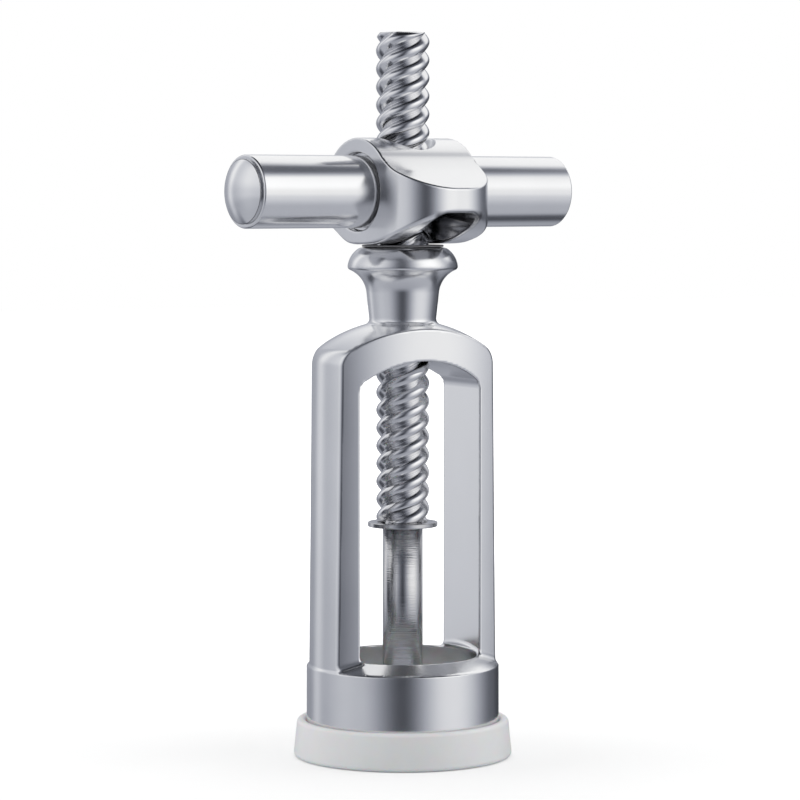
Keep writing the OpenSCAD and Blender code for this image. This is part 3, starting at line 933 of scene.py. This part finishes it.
class CORKSCREW_OT_grips(bpy.types.Operator):
    """Makes the two grips and their domed end caps"""
    bl_idname = "corkscrew.grips"
    bl_label = "Grips"

    def execute(self, context):
        s = context.scene.corkscrew_handle
        axis = handle_axis()
        metal = satin_grip(axis)
        low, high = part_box("left_grip")
        radius = (high.z - low.z) / 2
        reach = max(axis.dot(vertex.co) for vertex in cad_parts["right_grip"].data.vertices)
        foot = s.length / 2 - s.socket_depth + PRESS_GAP
        dome_foot = reach + s.groove_width
        cap_r = radius - s.cap_inset
        neck_r = cap_r - s.groove
        dome = (cap_r ** 2 + s.cap ** 2) / (2 * s.cap)
        widest = asin(cap_r / dome)
        for name, side in (("left", -1), ("right", 1)):
            turn = (axis * side).to_track_quat("Z", "Y").to_matrix().to_4x4()
            place = Matrix.Translation((0, 0, handle_height())) @ turn
            bar = [(0, foot, 0), (radius, foot, s.softness), (radius, reach, s.softness), (0, reach, 0)]
            mesh = turned(bar, place, closed=False)
            fit(name + "_bar", mesh, metal, "handle", name + "_grip")
            cap = [
                (0, reach - CAP_DEPTH, 0), (neck_r, reach - CAP_DEPTH, CAP_EDGES[0]),
                (neck_r, dome_foot, CAP_EDGES[1]), (cap_r, dome_foot, CAP_EDGES[2]),
            ]
            for k in range(1, DOME_STEPS + 1):
                a = widest * (1 - k / DOME_STEPS)
                cap.append((dome * sin(a), dome_foot + s.cap - dome * (1 - cos(a)), 0))
            mesh = turned(cap, place, closed=False)
            fit(name + "_cap", mesh, metal, "handle", name + "_end_cap")
        return {"FINISHED"}


class CORKSCREW_OT_fittings(bpy.types.Operator):
    """Gives the drive nut and the studs their steel"""
    bl_idname = "corkscrew.fittings"
    bl_label = "Nut and studs"

    def execute(self, context):
        metal = plain_steel()
        for node in ("drive_nut", "left_stud", "right_stud"):
            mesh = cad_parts[node].data
            mesh.materials.clear()
            mesh.materials.append(metal)
        return {"FINISHED"}


# Studio

WHITE = (1, 1, 1, 1)


def white_to_eye(tree):
    """One for rays from the camera, a mirror or glass, and nought for the rest."""
    path = put(tree, "ShaderNodeLightPath").outputs
    both = maths(tree, "MAXIMUM", path["Is Camera Ray"], path["Is Glossy Ray"])
    return maths(tree, "MAXIMUM", both, path["Is Transmission Ray"])


def white_world(level):
    """White to the eye, and a soft light from all round."""
    world = bpy.data.worlds.new("studio")
    bpy.context.scene.world = world
    world.use_nodes = True
    tree = world.node_tree
    strength = ramp(tree, white_to_eye(tree), 0.0, 1.0, level, 1.0)
    feed(tree, tree.nodes["Background"], {"Strength": strength, "Color": WHITE})


# Half the floor's width, its grey, and its glow: from which distance to which, and from how much to how much
FLOOR_HALF = 3.0
FLOOR_GREY = (0.8, 0.8, 0.8, 1)
FLOOR_GLOW = (0.12, 0.6, 0.2, 0.85)


def floor_mesh():
    """A square at the foot of the part."""
    mesh = bpy.data.meshes.new("floor")
    corners = [(x * FLOOR_HALF, y * FLOOR_HALF, 0) for x, y in ((-1, -1), (1, -1), (1, 1), (-1, 1))]
    mesh.from_pydata(corners, [], [(0, 1, 2, 3)])
    return mesh


def floor_material():
    """Pale floor that keeps the shadow near the part and runs into the white behind it."""
    material, tree, shader = surface("pale_floor")
    where = place_in(tree)
    away = put(tree, "ShaderNodeVectorMath", {0: where}, operation="LENGTH").outputs["Value"]
    glow = ramp(tree, away, *FLOOR_GLOW)
    feed(tree, shader, {
        "Roughness": 0.9,
        "Specular IOR Level": 0.0,
        "Base Color": FLOOR_GREY,
        "Emission Color": WHITE,
        "Emission Strength": maths(tree, "MULTIPLY", white_to_eye(tree), glow),
    })
    return material


# Brightness of the tent by degrees round the part from the camera: dim behind, a strip and a softbox to
# the left, a dark gap at the camera and a softbox to the right. Then that of its lower half, by how far
# back it lies.
TENT_SIDES = (
    (-180, 0.3), (-142, 0.32), (-124, 0.62), (-110, 0.42), (-72, 0.56), (-53, 0.52),
    (0, 0.06), (54, 0.76), (66, 0.77), (130, 0.12), (160, 0.05), (180, 0.3),
)
TENT_FLOOR = ((-1, 0.4), (0, 0.5), (0.22, 0.5), (0.4, 0.1), (0.55, 0.08), (0.75, 0.35), (0.95, 0.6))

# Where the tent changes, as parts of a direction: X to the right, Y away from the camera and Z up. With four
# numbers, the last two are the level before and after.
SIDE_GAIN = (-0.17, -0.02, 1.0, 1.3)
SIDE_RISE = (0.1, 0.3, 0.0, 0.3)
WHITE_BACK = (0.2, 0.42)
WHITE_HIGH = (0.25, 0.5)
WHITE_RIGHT = (-0.45, -0.1)
ROOF_EDGE = (0.64, 0.78)
ROOF_FROM = 0.22
ROOF_LEAN = 1.6
ROOF_MIDDLE = (0.84, 0.88)
ROOF_LEVEL = (0.84, 0.93, 0.14, 0.02)
FLOOR_EDGE = (-0.25, -0.55)
WHITE_LEVEL = 1.05
DARK_TINT = (0.9, 0.96, 1.16, 1)
TENT_RADIUS = 2.2


def levels(tree, place, stops):
    """Brightness that goes from stop to stop along a line from nought to one."""
    node = put(tree, "ShaderNodeValToRGB", {0: place})
    band = node.color_ramp
    band.interpolation = "EASE"
    for _ in stops[2:]:
        band.elements.new(1.0)
    for element, (spot, level) in zip(band.elements, stops):
        element.position = spot
        element.color = (level, level, level, 1)
    return node.outputs[0]


def blended(tree, factor, first, second):
    """Mixes two levels."""
    return put(tree, "ShaderNodeMix", {0: factor, 2: first, 3: second}).outputs[0]


def tent_material(azimuth):
    """Light tent: softboxes to the left and right, white high up behind, dark overhead and grey below."""
    material = bpy.data.materials.new("light_tent")
    material.use_nodes = True
    tree = material.node_tree
    tree.nodes.clear()
    where = place_in(tree)
    turned_in = put(tree, "ShaderNodeMapping", {"Vector": where, "Rotation": (0, 0, -azimuth)}).outputs[0]
    way = put(tree, "ShaderNodeVectorMath", {0: turned_in}, operation="NORMALIZE").outputs[0]
    part = put(tree, "ShaderNodeSeparateXYZ", {0: way}).outputs
    round_it = maths(tree, "ARCTAN2", part["X"], maths(tree, "MULTIPLY", part["Y"], -1.0))
    spot = maths(tree, "MULTIPLY_ADD", round_it, 1 / (2 * pi), 0.5)
    side = levels(tree, spot, [(degrees / 360 + 0.5, level) for degrees, level in TENT_SIDES])
    depth = maths(tree, "MULTIPLY_ADD", part["Y"], 0.5, 0.5)
    below = levels(tree, depth, [(y / 2 + 0.5, level) for y, level in TENT_FLOOR])
    gain = maths(tree, "ADD", ramp(tree, part["Z"], *SIDE_GAIN), ramp(tree, part["Z"], *SIDE_RISE))
    side = maths(tree, "MULTIPLY", side, gain)
    behind = maths(tree, "MULTIPLY", ramp(tree, part["Y"], *WHITE_BACK), ramp(tree, part["Z"], *WHITE_HIGH))
    white = maths(tree, "MULTIPLY", behind, ramp(tree, part["X"], *WHITE_RIGHT))
    away = maths(tree, "MAXIMUM", maths(tree, "SUBTRACT", part["Y"], ROOF_FROM), 0.0)
    rise = maths(tree, "MULTIPLY_ADD", away, -ROOF_LEAN, part["Z"])
    roof = maths(tree, "MAXIMUM", ramp(tree, rise, *ROOF_EDGE), ramp(tree, part["Z"], *ROOF_MIDDLE))
    level = blended(tree, white, side, WHITE_LEVEL)
    level = blended(tree, roof, level, ramp(tree, part["Z"], *ROOF_LEVEL))
    level = blended(tree, ramp(tree, part["Z"], *FLOOR_EDGE), level, below)
    tint = mixed(tree, level, DARK_TINT, WHITE)
    glow = put(tree, "ShaderNodeEmission", {"Strength": level, "Color": tint})
    tree.links.new(glow.outputs[0], put(tree, "ShaderNodeOutputMaterial").inputs[0])
    return material


def light_tent(azimuth):
    """A tent round the set that only mirrors see."""
    mesh = bpy.data.meshes.new("light_tent")
    work = bmesh.new()
    bmesh.ops.create_uvsphere(work, u_segments=64, v_segments=32, radius=TENT_RADIUS)
    work.to_mesh(mesh)
    work.free()
    tent = link("light_tent", mesh, tent_material(azimuth))
    tent.visible_camera = tent.visible_diffuse = tent.visible_shadow = tent.visible_transmission = False
    tent.visible_volume_scatter = False


# Places of the lamps in metres, the spot they look at, and the camera's sensor in millimetres
OVERHEAD = Vector((0.06, 0.1, 1.3))
FILL_HEIGHT = Vector((0, 0, 0.35))
FILL_ASIDE = 0.9
LAMP_AIM = Vector((0, 0, 0.05))
SENSOR = 36


def add_lamp(name, watts, width, place):
    """A square lamp that looks at the foot of the part and that mirrors don't see."""
    lamp = bpy.data.lights.new(name, "AREA")
    lamp.energy, lamp.size = watts, width
    piece = bpy.data.objects.new(name, lamp)
    piece.location = place
    piece.rotation_euler = (LAMP_AIM - place).to_track_quat("-Z", "Y").to_euler()
    piece.visible_glossy = False
    bpy.context.scene.collection.objects.link(piece)


class CORKSCREW_OT_stage(bpy.types.Operator):
    """Sets up the floor, the light and the camera"""
    bl_idname = "corkscrew.stage"
    bl_label = "Stage"

    def execute(self, context):
        s = context.scene.corkscrew_studio
        context.scene.view_settings.view_transform = "Standard"
        white_world(s.ambient)
        floor = link("floor", floor_mesh(), floor_material())
        floor.visible_glossy = False
        light_tent(s.azimuth)
        back = Vector((sin(s.azimuth), -cos(s.azimuth), 0))
        right = Vector((cos(s.azimuth), sin(s.azimuth), 0))
        add_lamp("overhead", s.key, width=1.4, place=OVERHEAD)
        for name, side in (("left_fill", -FILL_ASIDE), ("right_fill", FILL_ASIDE)):
            add_lamp(name, s.fill, width=0.8, place=FILL_HEIGHT + side * right)
        data = bpy.data.cameras.new("camera")
        data.lens, data.sensor_width = s.lens, SENSOR
        camera = bpy.data.objects.new("camera", data)
        camera.location = back * s.distance + Vector((0, 0, handle_height()))
        look = Vector((0, 0, s.aim)) - right * s.aside - camera.location
        camera.rotation_euler = look.to_track_quat("-Z", "Y").to_euler()
        context.scene.collection.objects.link(camera)
        context.scene.camera = camera
        return {"FINISHED"}


class CORKSCREW_PT_panel(bpy.types.Panel):
    """Lists the steps that dress the corkscrew"""
    bl_label = "Corkscrew"
    bl_idname = "CORKSCREW_PT_panel"
    bl_space_type = "VIEW_3D"
    bl_region_type = "UI"
    bl_category = "Corkscrew"

    def draw(self, context):
        for operator in OPERATORS:
            self.layout.operator(operator.bl_idname)


GROUPS = {
    "corkscrew_frame": FrameSizes, "corkscrew_collar": CollarSizes, "corkscrew_spindle": SpindleSizes,
    "corkscrew_handle": HandleSizes, "corkscrew_finishes": Finishes, "corkscrew_studio": Studio,
}
OPERATORS = (
    CORKSCREW_OT_frame, CORKSCREW_OT_collar, CORKSCREW_OT_spindle, CORKSCREW_OT_hub, CORKSCREW_OT_grips,
    CORKSCREW_OT_fittings, CORKSCREW_OT_stage,
)


def register():
    for cls in (*GROUPS.values(), *OPERATORS, CORKSCREW_PT_panel):
        bpy.utils.register_class(cls)
    for name, cls in GROUPS.items():
        setattr(bpy.types.Scene, name, PointerProperty(type=cls))


def unregister():
    for name in GROUPS:
        delattr(bpy.types.Scene, name)
    for cls in reversed((*GROUPS.values(), *OPERATORS, CORKSCREW_PT_panel)):
        bpy.utils.unregister_class(cls)


def main():
    register()
    for operator in OPERATORS:
        group_name, call = operator.bl_idname.split(".")
        getattr(getattr(bpy.ops, group_name), call)()


if __name__ == "__main__":
    main()
